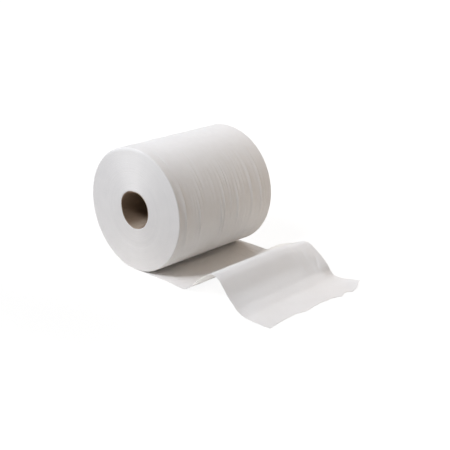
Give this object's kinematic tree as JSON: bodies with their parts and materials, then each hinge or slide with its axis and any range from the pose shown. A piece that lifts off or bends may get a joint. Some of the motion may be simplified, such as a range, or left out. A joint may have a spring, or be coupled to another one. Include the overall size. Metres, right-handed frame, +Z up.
{
  "type": "paper wiper roll",
  "caption": "Roll of white embossed paper wipes on a cardboard core, lying on its side with its loose end pulled out over a soft fold.",
  "frame": {"origin": "on the surface that the roll lies on, straight below the core's axis and midway along its width", "axes": "+Y along the core's axis from the near end to the far one, +X out along the loose end, +Z up"},
  "size_m": [0.3828, 0.2219, 0.1892],
  "materials": {
    "cardboard": "matte, spiral wound",
    "paper": "matte, finely embossed"
  },
  "bodies": {
    "root": {"cardboard_core": "cardboard", "paper_web": "paper"}
  },
  "joints": []
}
